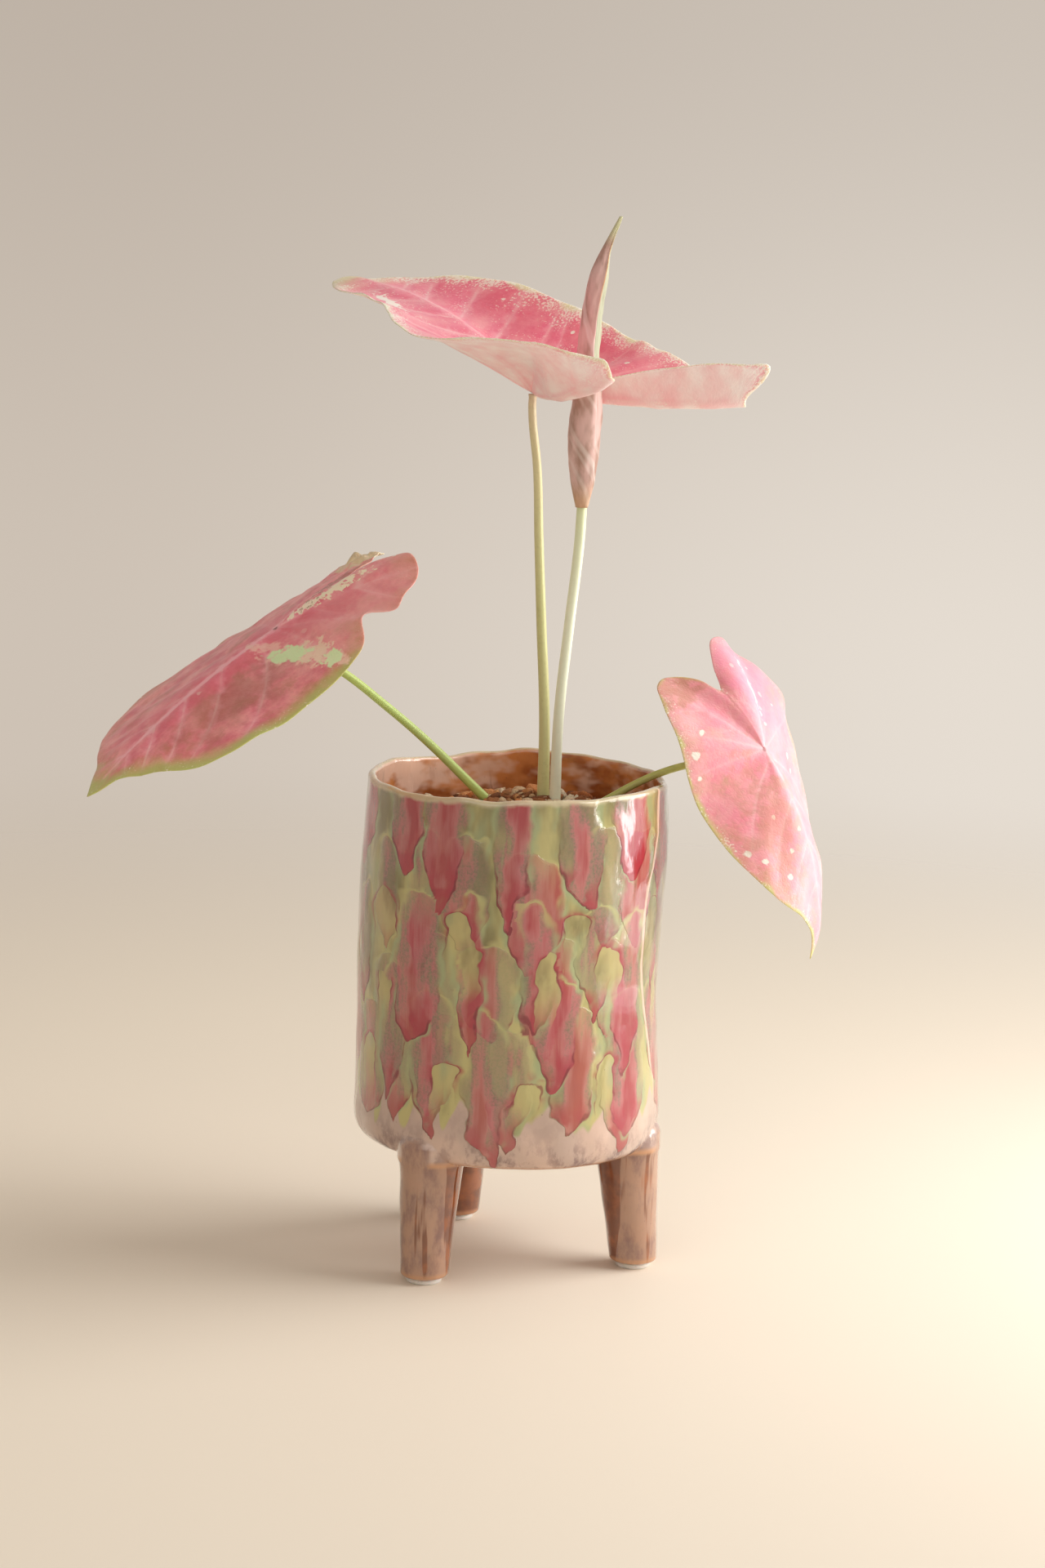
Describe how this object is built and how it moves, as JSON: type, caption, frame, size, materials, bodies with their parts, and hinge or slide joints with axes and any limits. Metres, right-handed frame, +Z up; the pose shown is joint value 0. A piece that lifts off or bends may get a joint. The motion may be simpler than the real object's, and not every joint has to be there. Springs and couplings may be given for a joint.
{
  "type": "potted caladium",
  "caption": "Caladium with shield-shaped leaves and a rolled leaf on bare stalks, in a hand-built glazed cylinder pot on three tapered legs.",
  "frame": {"origin": "middle of the bounding box in plan, at the underside of the foot pads", "axes": "+Z up along the pot's axis, -Y towards the side that shows the overlapped seam at its right edge, +X towards the leaf that hangs over the rim"},
  "size_m": [0.2582, 0.1504, 0.374],
  "materials": {
    "glaze": "gloss",
    "pad": "satin",
    "soil": "matt",
    "leaf_pink": "satin",
    "leaf_roll": "satin",
    "stalk": "satin"
  },
  "bodies": {
    "root": {"planter_pot": "glaze", "foot_pad_front_left": "pad", "foot_pad_right": "pad", "foot_pad_back": "pad", "soil": "soil", "stalk_top": "stalk", "leaf_top": "leaf_pink", "stalk_left": "stalk", "leaf_left": "leaf_pink", "stalk_right": "stalk", "leaf_right": "leaf_pink", "stalk_rolled": "stalk", "leaf_rolled": "leaf_roll"}
  },
  "joints": []
}
